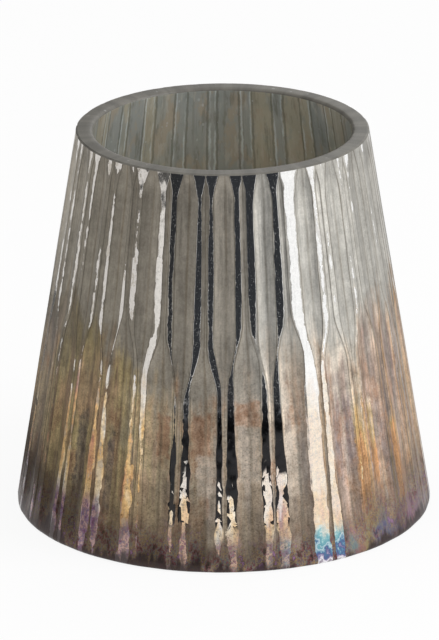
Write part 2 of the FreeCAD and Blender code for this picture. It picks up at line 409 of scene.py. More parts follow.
def turned(stretches, steps, cuts=0):
    """A profile turned right round the Z axis, with seam and poles closed and each step of a ring cut."""
    bm = bmesh.new()
    add_profile(bm, stretches)
    spin(bm, TURN, steps, use_merge=True)
    bmesh.ops.remove_doubles(bm, verts=bm.verts[:], dist=TINY)
    if cuts:
        rings = []
        for edge in bm.edges:
            first, second = (vertex.co for vertex in edge.verts)
            if max(abs(first.xy.length - second.xy.length), abs(first.z - second.z)) < TINY / 100:
                rings.append(edge)
        bmesh.ops.subdivide_edges(bm, edges=rings, cuts=cuts, use_grid_fill=True)
    bmesh.ops.recalc_face_normals(bm, faces=bm.faces[:])
    for face in bm.faces:
        face.smooth = True
    return bm


def vessel_profile(sizes):
    """Section of the vessel, from the middle of its underside round foot and rim to that of its floor."""
    foot_end, tip_start = 0.05, 0.90
    foot_cuts, wall_cuts, tip_cuts, inside_cuts, level_cuts = 4, 60, 15, 9, 2
    slope = math.atan2(sizes.base_radius - sizes.rim_radius, sizes.height)
    up_wall = Vector((-math.sin(slope), math.cos(slope)))
    rim_outside = Vector((sizes.rim_radius, sizes.height))
    rim_inside = Vector((sizes.rim_radius - sizes.wall, sizes.height))
    floor_corner = (outer_radius(sizes, sizes.floor) - sizes.wall, sizes.floor)
    ring_inside = foot_ring_inside(sizes)
    foot = corner_points((sizes.base_radius, 0), (0, 0), rim_outside, sizes.foot_round, 3)
    fillet = corner_points(floor_corner, rim_inside, (0, sizes.floor), sizes.floor_fillet, 4)
    worn_rim = corner_points(rim_inside, rim_outside, floor_corner, sizes.rim_round, 5)
    wall_top = rim_outside - up_wall * sizes.rim_bevel
    return [
        (0, sizes.base_recess),
        (ring_inside - sizes.base_recess, sizes.base_recess, level_cuts),
        (ring_inside, 0, 0),
        *stretches_to(foot),
        (*foot[-1].lerp(wall_top, foot_end), foot_cuts),
        (*foot[-1].lerp(wall_top, tip_start), wall_cuts),
        (*wall_top, tip_cuts),
        (sizes.rim_radius - sizes.rim_bevel, sizes.height, 0),
        *stretches_to(worn_rim, level_cuts),
        *stretches_to(fillet, inside_cuts),
        (0, sizes.floor, level_cuts),
    ]


def inside_bands(flutes, sizes):
    """Columns of the smooth inside: a straight band behind each upper flute, and narrow gaps between."""
    z = BAND_HEIGHT * sizes.height
    columns = ring_columns(flutes, z, sizes)
    radius = outer_radius(sizes, z)
    for place in range(0, len(flutes), 2):
        first = (place - 1) * COLUMNS + FLUTE_COLUMNS
        last = (place + 1) * COLUMNS
        start = columns[first][0] - (TURN if first < 0 else 0)
        end = columns[last][0]
        for column in range(first, last):
            angle = columns[column][0]
            here = angle - TURN if column < 0 else angle
            columns[column] = (angle, 0.0, -radius * min(here - start, end - here), 0.0)
    return columns


def press_wall(bm, sizes):
    """Draws each column of the spun wall along its flute or ridge, sinks the flutes and notes their edges."""
    flutes = cut_flutes(sizes)
    count = len(flutes) * COLUMNS
    sector = TURN / len(flutes)
    swell_length, swell_scale = 0.05, 2.2
    layers = bm.verts.layers
    edge_layer = layers.float.new("cut_edge")
    tone_layer = layers.float.new("cut_tone")
    valley_layer = layers.float.new("cut_valley")
    cover_layer = layers.float.new("ridge_cover")
    border_layer = layers.int.new("border")
    straight = inside_bands(flutes, sizes)
    rings = {}
    for vertex in bm.verts:
        radius = vertex.co.xy.length
        if radius < MILLIMETRE:
            continue
        z = vertex.co.z
        key = round(z * 1e6)
        if key not in rings:
            rings[key] = ring_columns(flutes, z, sizes)
        turn = math.atan2(vertex.co.x, -vertex.co.y) % TURN
        column = round(turn / TURN * count) % count
        radius *= math.cos((turn % sector) - sector / 2) / math.cos(sector / 2)
        place, step = divmod(column, COLUMNS)
        outside = lies_outside(sizes, radius, z)
        angle, depth, edge, valley = rings[key][column] if outside else straight[column]
        if outside:
            spot = Vector((math.sin(angle), -math.cos(angle), z / swell_length)) * swell_scale
            radius -= depth - sizes.swell * noise.noise(spot)
        vertex.co = (radius * math.sin(angle), -radius * math.cos(angle), z)
        vertex[edge_layer] = edge / MILLIMETRE
        vertex[valley_layer] = valley
        tone = flutes[place].tone
        if step > FLUTE_COLUMNS:
            share = (step - FLUTE_COLUMNS) / RIDGE_COLUMNS
            tone += (flutes[(place + 1) % len(flutes)].tone - tone) * share
        vertex[tone_layer] = tone
        vertex[cover_layer] = flutes[place if step > FLUTE_COLUMNS // 2 else place - 1].cover(z)
        vertex[border_layer] = 1 if step in (0, FLUTE_COLUMNS) and outside else 0
    return border_layer


def mark_vessel_faces(bm, sizes, border_layer):
    """Gives each zone its material slot, and keeps the edges of the cuts and of the ground rim crisp."""
    wall_slot, rim_slot, inside_slot, base_slot = range(4)
    sharp_angle = 0.5
    for face in bm.faces:
        middle = face.calc_center_median()
        outside = lies_outside(sizes, middle.xy.length, middle.z)
        if middle.z > sizes.height - (sizes.rim_bevel if outside else sizes.rim_round * 0.9):
            face.material_index = rim_slot
        elif outside and middle.z > 5 * TINY:
            face.material_index = wall_slot
        elif middle.z >= sizes.floor - TINY:
            face.material_index = inside_slot
        else:
            face.material_index = base_slot
    for edge in bm.edges:
        first, second = edge.verts
        upright = abs(first.co.z - second.co.z) > 5 * TINY
        on_border = first[border_layer] and second[border_layer] and upright
        between = len({face.material_index for face in edge.link_faces}) > 1
        on_rim = min(first.co.z, second.co.z) > sizes.height - TINY and edge.calc_face_angle(0) > sharp_angle
        if on_border or between or on_rim:
            edge.smooth = False


def make_object(bm, name, materials):
    """A finished piece from a bmesh, at the origin, with its material slots filled."""
    mesh = bpy.data.meshes.new(name)
    bm.to_mesh(mesh)
    bm.free()
    for material in materials:
        mesh.materials.append(material)
    return link_object(name, mesh)


def link_object(name, data):
    """An object in the scene that shows a mesh, a lamp or a camera."""
    piece = bpy.data.objects.new(name, data)
    bpy.context.scene.collection.objects.link(piece)
    return piece


def seat(piece, body, node):
    """Says which body a piece rides on, and hides the CAD node that it stands for."""
    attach(piece, body)
    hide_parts(node)


def opaque(value):
    """A colour of three values with full alpha; a socket stays as it is."""
    if isinstance(value, bpy.types.NodeSocket):
        return value
    return (*value[:3], 1.0)


def scaled_colour(value, factor):
    """A colour made lighter or darker."""
    return tuple(min(channel * factor, 1.0) for channel in value[:3])


def turn_share(degrees):
    """Place of an azimuth, in degrees from the front, on a ramp that runs once round the vessel."""
    return degrees / 360 + 0.5


def bare_nodes(owner):
    """The node tree of a material or a world, emptied."""
    owner.use_nodes = True
    owner.node_tree.nodes.clear()
    return owner.node_tree


class Tree:
    """A node tree with short ways to add the nodes that the finishes use; most give back an output socket."""

    def __init__(self, tree):
        self.tree = tree

    def fill(self, node, inputs):
        """Links or sets a node's inputs, by name or by place."""
        for key, value in inputs.items():
            if isinstance(value, bpy.types.NodeSocket):
                self.tree.links.new(value, node.inputs[key])
            else:
                node.inputs[key].default_value = value
        return node

    def add(self, kind, inputs=None, **settings):
        node = self.tree.nodes.new(kind)
        for name, value in settings.items():
            setattr(node, name, value)
        return self.fill(node, inputs or {})

    def math(self, operation, first, second=0.0):
        return self.add("ShaderNodeMath", {0: first, 1: second}, operation=operation).outputs[0]

    def chain(self, operation, values):
        return functools.reduce(lambda total, value: self.math(operation, total, value), values)

    def times(self, *values):
        return self.chain("MULTIPLY", values)

    def plus(self, *values):
        return self.chain("ADD", values)

    def most(self, *values):
        return self.chain("MAXIMUM", values)

    def minus(self, first, second):
        return self.math("SUBTRACT", first, second)

    def apart(self, first, second):
        return self.math("ABSOLUTE", self.minus(first, second))

    def weighted(self, *terms):
        """Sum of noises, each taken about its middle and given a weight."""
        return self.plus(*[self.times(self.minus(socket, 0.5), weight) for socket, weight in terms])

    def vector(self, operation, inputs, output=0):
        return self.add("ShaderNodeVectorMath", inputs, operation=operation).outputs[output]

    def mix(self, factor, first, second, blend="MIX"):
        inputs = {0: factor, 6: opaque(first), 7: opaque(second)}
        node = self.add("ShaderNodeMix", inputs, data_type="RGBA", blend_type=blend, clamp_factor=True)
        return node.outputs[2]

    def wash(self, body, shade, value, low, high, share=1.0):
        """A colour with another laid over it, up to a share, as a value goes from low to high."""
        return self.mix(self.smooth(value, low, high, 0.0, share), body, shade)

    def shaded(self, body, value):
        """A colour made lighter or darker by a value."""
        grey = self.add("ShaderNodeCombineColor", {0: value, 1: value, 2: value}).outputs[0]
        return self.mix(1.0, body, grey, "MULTIPLY")

    def blend_value(self, factor, first, second):
        return self.add("ShaderNodeMix", {0: factor, 2: first, 3: second}, data_type="FLOAT").outputs[0]

    def smooth(self, value, low, high, to_low=0.0, to_high=1.0):
        inputs = {"Value": value, "From Min": low, "From Max": high, "To Min": to_low, "To Max": to_high}
        return self.add("ShaderNodeMapRange", inputs, interpolation_type="SMOOTHSTEP").outputs[0]

    def scaled(self, vector, scale):
        return self.add("ShaderNodeMapping", {"Vector": vector, "Scale": scale}).outputs[0]

    def noise(self, vector, scale, detail=2.0, roughness=0.5):
        inputs = {"Vector": vector, "Scale": scale, "Detail": detail, "Roughness": roughness}
        return self.add("ShaderNodeTexNoise", inputs).outputs["Fac"]

    def cells(self, vector, scale):
        """Distance to the middle of a cell, and three chances that each cell draws."""
        node = self.add("ShaderNodeTexVoronoi", {"Vector": vector, "Scale": scale})
        chances = self.add("ShaderNodeSeparateColor", {0: node.outputs["Color"]}).outputs
        return node.outputs["Distance"], chances

    def ramp(self, value, stops):
        """A colour or a grey that follows a value, from (value, colour or grey) stops."""
        node = self.add("ShaderNodeValToRGB", {"Fac": value})
        elements = node.color_ramp.elements
        while len(elements) < len(stops):
            elements.new(0.5)
        for element, (position, shade) in zip(elements, stops):
            element.position = position
            element.color = opaque((shade,) * 3 if isinstance(shade, float) else shade)
        return node.outputs["Color"]

    def bump(self, height, strength, distance, below=None):
        inputs = {"Strength": strength, "Distance": distance, "Height": height}
        if below is not None:
            inputs["Normal"] = below
        return self.add("ShaderNodeBump", inputs).outputs[0]

    def attribute(self, name):
        return self.add("ShaderNodeAttribute", attribute_name=name).outputs["Fac"]

    def spots(self, freckle, place, spacing, size, share):
        """Mask of the freckles group with its own values."""
        inputs = {"Place": place, "Spacing": spacing, "Size": size, "Share": share}
        return self.add("ShaderNodeGroup", inputs, node_tree=freckle).outputs["Mask"]


class Finish(Tree):
    """A material with one Principled shader, and the tree that feeds it."""

    def __init__(self, name):
        self.material = bpy.data.materials.new(name)
        super().__init__(bare_nodes(self.material))
        self.shader = self.add("ShaderNodeBsdfPrincipled")
        self.add("ShaderNodeOutputMaterial", {"Surface": self.shader.outputs[0]})
        self.place = self.add("ShaderNodeTexCoord").outputs["Object"]

    def level(self):
        """The place without its height, and its parts."""
        parts = self.add("ShaderNodeSeparateXYZ", {0: self.place}).outputs
        return self.add("ShaderNodeCombineXYZ", {"X": parts["X"], "Y": parts["Y"]}).outputs[0], parts

    def finished(self, body, roughness, relief, **plain):
        """The material, with its colour, roughness and normal linked, and plain inputs set."""
        self.fill(self.shader, {"Base Color": body, "Roughness": roughness, "Normal": relief})
        self.fill(self.shader, {name.replace("_", " "): value for name, value in plain.items()})
        return self.material


class WallFinish(Finish):
    """A finish that follows the leaning wall, so that its streaks run along the flutes."""

    def __init__(self, name, sizes):
        super().__init__(name)
        level, parts = self.level()
        mean_radius = (sizes.base_radius + sizes.rim_radius) / 2
        around = self.vector("SCALE", {0: self.vector("NORMALIZE", {0: level}), "Scale": mean_radius})
        lift = self.add("ShaderNodeCombineXYZ", {"Z": parts["Z"]}).outputs[0]
        angle = self.math("ARCTAN2", parts["X"], self.times(parts["Y"], -1.0))
        self.patch = self.vector("ADD", {0: around, 1: lift})
        self.streak = self.scaled(self.patch, (1, 1, 0.05))
        self.height = self.math("DIVIDE", parts["Z"], sizes.height)
        self.turn = self.plus(self.math("DIVIDE", angle, TURN), 0.5)

    def around(self, back, *stops):
        """A value that changes round the vessel: at the back, then (degrees from the front, value) stops."""
        stops = [(-180, back), *stops, (180, back)]
        return self.ramp(self.turn, [(turn_share(degrees), value) for degrees, value in stops])

    def streaks(self, along, scale, detail=2.0, roughness=0.5):
        """Noise drawn out along the flutes; the smaller the share along them, the longer its streaks."""
        return self.noise(self.scaled(self.patch, (1, 1, along)), scale, detail, roughness)


class SilveredWall(WallFinish):
    """The outside's tree, with sockets that its colours share: grain, and how the stain lies."""

    def __init__(self, sizes):
        super().__init__("silvered wall", sizes)
        self.edge = self.attribute("cut_edge")
        self.tone = self.attribute("cut_tone")
        self.valley = self.attribute("cut_valley")
        self.cover = self.attribute("ridge_cover")
        wobble = self.smooth(self.streaks(0.7, 160), 0.40, 0.60, 0.1, 1.7)
        self.retreat = self.times(self.math("MINIMUM", self.cover, 0.0), wobble)
        self.cloud = self.noise(self.patch, 55, 4, 0.6)
        self.drip = self.streaks(0.16, 230, 4, 0.6)
        self.grain = self.noise(self.streak, 330, 4, 0.65)
        self.hair = self.noise(self.streak, 1500, 3, 0.6)
        self.grit = self.noise(self.patch, 1700, 3, 0.75)
        self.mottle = self.streaks(0.7, 460, 5, 0.75)
        self.drift = self.weighted((self.noise(self.patch, 260, 4, 0.65), 1.3))
        self.right = self.around(0.3, (-30, 0.0), (5, 0.2), (14, 0.95), (30, 1.0), (120, 1.0))
        self.warmth = self.around(0.5, (-45, 0.0), (-22, 0.15), (-4, 0.6), (12, 0.8), (40, 1.0))
        self.unrest = self.around(0.9, (-40, 1.0), (-20, 0.6), (-14, 0.45), (24, 0.4), (44, 0.9))
        reach = self.around(
            0.8, (-80, 1.0), (-32, 0.95), (-20, 0.7), (-6, 0.5), (10, 0.45), (24, 0.6), (36, 0.9), (60, 1.0)
        )
        top = self.around(
            0.55, (-80, 0.60), (-58, 0.60), (-44, 0.55), (-28, 0.50), (-12, 0.44), (12, 0.44), (26, 0.50),
            (44, 0.47), (53, 0.54), (60, 0.61), (80, 0.60),
        )
        self.stain_height = self.plus(self.height, self.weighted((self.cloud, 0.26), (self.drip, 0.42)))
        self.below = self.minus(top, self.stain_height)
        self.stain = self.times(self.smooth(self.below, -0.05, 0.09), reach)

    def patch_mask(self, degrees, height, breadth, rise):
        """A soft-edged patch: its middle in degrees from the front and share of the height, and its reach."""
        aside = self.math("DIVIDE", self.apart(self.turn, turn_share(degrees)), breadth / 360)
        apart = self.math("DIVIDE", self.apart(self.height, height), rise)
        return self.times(*[self.smooth(self.plus(way, self.drift), 1.1, 0.7) for way in (aside, apart)])


def freckles():
    """Group: a mask of small round freckles of uneven size, of which only a share shows."""
    group = bpy.data.node_groups.new("freckles", "ShaderNodeTree")
    group.interface.new_socket("Place", in_out="INPUT", socket_type="NodeSocketVector")
    for name in ("Spacing", "Size", "Share"):
        group.interface.new_socket(name, in_out="INPUT", socket_type="NodeSocketFloat")
    group.interface.new_socket("Mask", in_out="OUTPUT", socket_type="NodeSocketFloat")
    tree = Tree(group)
    start = tree.add("NodeGroupInput").outputs
    distance, chances = tree.cells(start["Place"], tree.math("DIVIDE", 1.0, start["Spacing"]))
    radius = tree.times(start["Size"], chances[1])
    spot = tree.smooth(distance, radius, tree.times(radius, 0.55))
    shown = tree.math("LESS_THAN", chances[0], start["Share"])
    tree.add("NodeGroupOutput", {"Mask": tree.times(spot, shown)})
    return group


def cut_mask(wall):
    """1 in the ground flutes and 0 on the mirror ridges; the border strays where the silvering has crept."""
    stray = wall.weighted((wall.streaks(0.25, 130), 5.6), (wall.streaks(0.6, 420, 3, 0.6), 3.6))
    stray = wall.plus(wall.times(stray, wall.unrest), wall.weighted((wall.grit, 0.35)))
    foot = wall.around(0.55, (-22, 0.55), (-18, 1.5), (20, 1.5), (23, 0.55))
    foot = wall.times(wall.smooth(wall.stain_height, 0.16, 0.06), foot)
    left = wall.around(0.0, (-68, 0.1), (-56, 1.0), (-24, 1.0), (-16, 0.0))
    bare_rim = wall.times(wall.smooth(wall.height, 0.95, 0.985, 0.0, 0.3), left)
    spread = wall.minus(wall.plus(wall.cover, foot), bare_rim)
    creep = wall.most(wall.plus(stray, spread), -0.05)
    return wall.smooth(wall.plus(wall.edge, creep, wall.retreat), -0.18, 0.0)


def plain_satin(wall, finish):
    """Unstained flutes: silver, with painted shade on the left, pale on the right and sandy low down."""
    plain = wall.mix(wall.right, finish.silver, finish.pale)
    plain = wall.wash(plain, (0.38, 0.33, 0.26), wall.drip, 0.45, 0.75, 0.25)
    # Painted shade: the unstained silver is darker on the left, the side away from the lamp
    left = wall.around(0.2, (-75, 0.55), (-45, 0.72), (-28, 0.40), (-19, 0.38), (-6, 0.24), (8, 0.0))
    plain = wall.mix(left, plain, (0.32, 0.29, 0.235))
    lift = wall.minus(wall.stain_height, wall.times(wall.right, 0.14))
    return wall.wash(plain, (0.76, 0.66, 0.545), lift, 0.48, 0.32, 0.85)


def stained_satin(wall, finish):
    """Stained flutes: streaks of olive and brown on the left, and of brown, rose and grey on the right."""
    cool_stops = [
        (0.28, (0.25, 0.23, 0.16)), (0.40, (0.46, 0.32, 0.19)), (0.50, finish.olive),
        (0.60, (0.84, 0.65, 0.34)), (0.74, (0.58, 0.54, 0.39)),
    ]
    warm_stops = [
        (0.30, (0.12, 0.11, 0.07)), (0.37, (0.25, 0.19, 0.19)), (0.43, finish.rose),
        (0.48, (0.64, 0.46, 0.33)), (0.52, (0.50, 0.28, 0.13)), (0.56, (0.21, 0.18, 0.14)),
        (0.61, (0.36, 0.32, 0.34)), (0.70, (0.66, 0.50, 0.37)),
    ]
    tint_stops = [
        (0.10, (0.40, 0.35, 0.37)), (0.30, (0.66, 0.44, 0.31)), (0.45, (0.25, 0.21, 0.16)),
        (0.60, (0.70, 0.44, 0.18)), (0.75, (0.36, 0.31, 0.34)), (0.95, (0.58, 0.46, 0.36)),
    ]
    cool = wall.ramp(wall.streaks(0.10, 190, 4, 0.62), cool_stops)
    blotch = wall.streaks(0.35, 75, 4, 0.6)
    cool = wall.wash(cool, (0.58, 0.36, 0.23), blotch, 0.50, 0.66, 0.65)
    cool = wall.wash(cool, (0.34, 0.33, 0.26), blotch, 0.46, 0.32, 0.55)
    warm = wall.ramp(wall.streaks(0.06, 165, 4, 0.6), warm_stops)
    warm = wall.wash(warm, (0.05, 0.04, 0.04), wall.height, 0.40, 0.20, 0.2)
    stained = wall.mix(wall.warmth, cool, warm)
    comb = wall.streaks(0.07, 800, 3, 0.6)
    furrow = wall.times(wall.smooth(comb, 0.45, 0.32), wall.smooth(wall.warmth, 0.5, 1.0, 0.4, 0.75))
    stained = wall.mix(furrow, stained, (0.16, 0.13, 0.09))
    stained = wall.wash(stained, (0.72, 0.60, 0.46), comb, 0.58, 0.72, 0.3)
    tint = wall.ramp(wall.tone, tint_stops)
    return wall.wash(stained, tint, wall.warmth, 0.8, 1.0, 0.45)


def blooms(wall, finish, satin):
    """Rust, orange, dusky and pale patches in the flutes."""
    blush = wall.times(
        wall.smooth(wall.streaks(0.45, 140, 5, 0.65), 0.48, 0.66),
        wall.smooth(wall.stain_height, 0.52, 0.38),
        wall.smooth(wall.grit, 0.35, 0.60, 0.3, 0.75),
    )
    blotched = wall.smooth(wall.mottle, 0.35, 0.62, 0.5, 0.85)
    vivid = wall.smooth(wall.mottle, 0.35, 0.62, 0.70, 0.95)
    orange_stops = [
        (0.12, (0.58, 0.28, 0.11)), (0.26, (0.70, 0.37, 0.155)),
        (0.32, (0.72, 0.50, 0.22)), (0.40, (0.65, 0.56, 0.44)),
    ]
    orange = wall.ramp(wall.stain_height, orange_stops)
    rust = [wall.times(wall.patch_mask(*patch), blotched) for patch in RUST_PATCHES]
    satin = wall.mix(wall.most(blush, *rust), satin, finish.rust)
    for patches, strength, shade in (
        (ORANGE_RUNS, vivid, orange),
        (DUSKY_PATCHES, blotched, (0.20, 0.17, 0.15)),
        (PALE_PATCHES, blotched, (0.78, 0.67, 0.555)),
    ):
        for patch in patches:
            satin = wall.mix(wall.times(wall.patch_mask(*patch), strength), satin, shade)
    return satin


def satin_shade(wall):
    """How light the satin is: fine lines, pits and clouds, darker near the foot, and painted shade near the
    rim.
    """
    rough = wall.smooth(wall.height, 0.62, 0.34, 0.62, 1.15)
    bloom = wall.streaks(0.8, 230, 5, 0.7)
    pepper = wall.times(wall.weighted((wall.grit, -1.0), (wall.mottle, -1.4), (bloom, -0.9)), rough)
    lines = wall.smooth(wall.streaks(0.05, 430, 3, 0.6), 0.38, 0.60, 0.70, 1.18)
    lined = wall.times(wall.stain, wall.smooth(wall.warmth, 0.8, 1.0))
    middle = wall.around(0.0, (-24, 0.0), (-12, 1.0), (20, 1.0), (26, 0.0))
    return wall.times(
        wall.smooth(wall.hair, 0.2, 0.8, 0.87, 1.11),
        wall.smooth(wall.tone, 0, 1, 0.9, 1.08),
        wall.plus(pepper, 1.0),
        wall.blend_value(lined, 1.0, lines),
        wall.smooth(wall.grain, 0.3, 0.7, 0.88, 1.10),
        wall.smooth(wall.cloud, 0.3, 0.7, 0.88, 1.10),
        wall.smooth(wall.height, 0.26, 0.08, 1.0, 0.72),
        wall.blend_value(middle, 1.0, wall.smooth(wall.height, 0.28, 0.14, 1.0, 0.88)),
        # Painted shadow: darker over the top tenth of the height, just below the rim
        wall.smooth(wall.height, 0.90, 1.0, 1.0, 0.82),
    )


def satin_colour(wall, finish):
    """Ground flutes: streaked silver above, stained below, with painted shade along the valley and a dark
    border.
    """
    satin = wall.mix(wall.stain, plain_satin(wall, finish), stained_satin(wall, finish))
    fringe = wall.around(0.5, (-76, 0.95), (-66, 0.8), (-50, 0.5), (-36, 0.0), (50, 0.0))
    fringe = wall.times(fringe, wall.smooth(wall.below, -0.05, 0.02), wall.smooth(wall.below, 0.22, 0.08))
    satin = wall.mix(fringe, satin, (0.19, 0.17, 0.12))
    far = wall.around(0.0, (-84, 0.4), (-74, 0.55), (-68, 0.3), (-62, 0.0))
    satin = wall.mix(wall.times(far, wall.stain), satin, (0.46, 0.39, 0.36))
    satin = blooms(wall, finish, satin)
    # Painted shade: darkens each flute along a line just right of its middle, in broken streaks
    valley_shade = wall.times(wall.smooth(wall.valley, 0.80, 0.97), wall.smooth(wall.drip, 0.35, 0.6, 0.25, 0.65))
    satin = wall.mix(valley_shade, satin, wall.mix(wall.times(wall.right, 0.7), finish.valley_shade, (0.30, 0.29, 0.26)))
    breadth = wall.around(0.4, (-60, 0.45), (-35, 0.32), (30, 0.32), (44, 0.45), (75, 0.5))
    border = wall.smooth(wall.apart(wall.edge, 0.1), breadth, 0.05)
    border = wall.times(border, wall.smooth(wall.grain, 0.35, 0.65, 0.30, 0.72))
    satin = wall.mix(border, satin, (0.15, 0.13, 0.10))
    satin = wall.wash(satin, (0.42, 0.30, 0.19), wall.stain_height, 0.24, 0.08, 0.4)
    speck = wall.times(wall.smooth(wall.grit, 0.56, 0.70), wall.smooth(wall.height, 0.60, 0.30, 0.0, 0.55))
    satin = wall.mix(speck, satin, wall.mix(0.5, finish.umber, finish.rust))
    return wall.shaded(satin, satin_shade(wall))


def gilding(wall, finish):
    """Gold, cream and rust that cover the ridges low down, and where they do."""
    gilt_stops = [
        (0.33, (0.42, 0.17, 0.14)), (0.41, (0.74, 0.42, 0.20)), (0.51, finish.amber),
        (0.61, (0.92, 0.75, 0.52)), (0.71, finish.mirror),
    ]
    worn = wall.noise(wall.patch, 800, 4, 0.75)
    gilt = wall.ramp(wall.streaks(0.22, 170, 3, 0.6), gilt_stops)
    gilt = wall.shaded(gilt, wall.smooth(worn, 0.36, 0.64, 0.72, 1.22))
    gilt = wall.wash(gilt, finish.umber, worn, 0.40, 0.33, 0.75)
    high = wall.around(0.8, (-24, 1.0), (-17, 0.2), (24, 0.4), (37, 0.5), (41, 1.0))
    low = wall.around(0.8, (18, 0.8), (24, 0.6), (37, 0.7), (44, 0.8))
    high = wall.times(wall.smooth(wall.stain_height, 0.52, 0.36), high)
    low = wall.times(wall.smooth(wall.stain_height, 0.24, 0.14), low)
    return gilt, wall.most(high, low)


def painted_dark_ridges(wall):
    """Painted reflection: the middle ridges are painted dark low down, as the dark room in front would show
    in them, between ragged bright pieces that are left.
    """
    _, cell_chances = wall.cells(wall.scaled(wall.patch, (1, 1, 0.7)), 330)
    ragged = wall.plus(cell_chances[0], wall.weighted((wall.noise(wall.patch, 90, 2), 4.0)))
    saw = wall.math("FRACT", wall.plus(wall.times(wall.height, 19.0), ragged))
    bite = wall.around(1.0, (9, 1.0), (13, 0.6), (18, 0.6), (21, 1.0))
    dark_cells = wall.times(wall.math("LESS_THAN", cell_chances[1], 0.25), 2.0)
    dark_between_chips = wall.smooth(wall.plus(wall.edge, wall.retreat, wall.times(saw, bite, 1.4), dark_cells), -0.12, -0.04)
    bright = wall.around(0.21, (-14, 0.21), (-11, 0.25), (-7, 0.22), (9, 0.215), (13, 0.255), (18, 0.255))
    dark_above = wall.plus(wall.height, wall.weighted((wall.cloud, 0.10), (cell_chances[2], 0.05)))
    dark_above = wall.smooth(wall.minus(dark_above, bright), 0.0, 0.012)
    middle = wall.around(0.0, (-19, 0.0), (-17, 1.0), (20, 1.0), (22, 0.0))
    foot = wall.smooth(wall.height, 0.10, 0.125)
    head = wall.smooth(wall.height, 0.46, 0.40)
    return wall.times(wall.most(dark_between_chips, dark_above), foot, head, middle, 0.98)


def mirror_colour(wall, finish):
    """Uncut ridges: bright silver above, gold, cream and rust below, dulled in flakes, with a painted dark
    reflection on the middle ridges.
    """
    gilt, gilded = gilding(wall, finish)
    mirror = wall.mix(gilded, finish.mirror, gilt)
    scratch = wall.smooth(wall.noise(wall.streak, 2400, 2), 0.56, 0.66, 0.0, 0.16)
    mirror = wall.mix(scratch, mirror, (0.50, 0.50, 0.50))
    mirror = wall.shaded(mirror, wall.smooth(wall.noise(wall.patch, 700, 4, 0.7), 0.3, 0.7, 0.94, 1.06))
    duller = wall.around(0.6, (-76, 0.35), (-50, 0.6), (-18, 0.6), (18, 0.7), (22, 1.0), (38, 1.0), (42, 0.6))
    mirror = wall.shaded(mirror, wall.blend_value(wall.smooth(wall.height, 0.15, 0.08), 1.0, duller))
    cream = wall.around(0.4, (-60, 1.0), (-20, 1.0), (-8, 0.0), (60, 0.0))
    mirror = wall.mix(wall.times(cream, 0.8), mirror, (0.92, 0.88, 0.81), "MULTIPLY")
    veil = wall.around(0.4, (-60, 1.0), (-28, 1.0), (-19, 0.4), (-8, 0.0), (60, 0.0))
    veil = wall.times(veil, wall.smooth(wall.height, 0.36, 0.52))
    mirror = wall.mix(veil, mirror, (0.68, 0.67, 0.68), "MULTIPLY")
    # Painted reflection: near black low on the middle ridges and grey higher up, where the dark room would be
    # reflected
    dark_reflection_tone = wall.mix(wall.smooth(wall.height, 0.37, 0.42), (0.017, 0.018, 0.021), (0.25, 0.26, 0.28))
    mirror = wall.mix(painted_dark_ridges(wall), mirror, dark_reflection_tone)
    flakes = wall.smooth(wall.streaks(0.5, 330, 4, 0.65), 0.55, 0.61, 0.0, 0.6)
    dulled = wall.times(flakes, wall.smooth(wall.unrest, 0.4, 1.0))
    return wall.mix(dulled, mirror, finish.silver), dulled, wall.times(gilded, cream)


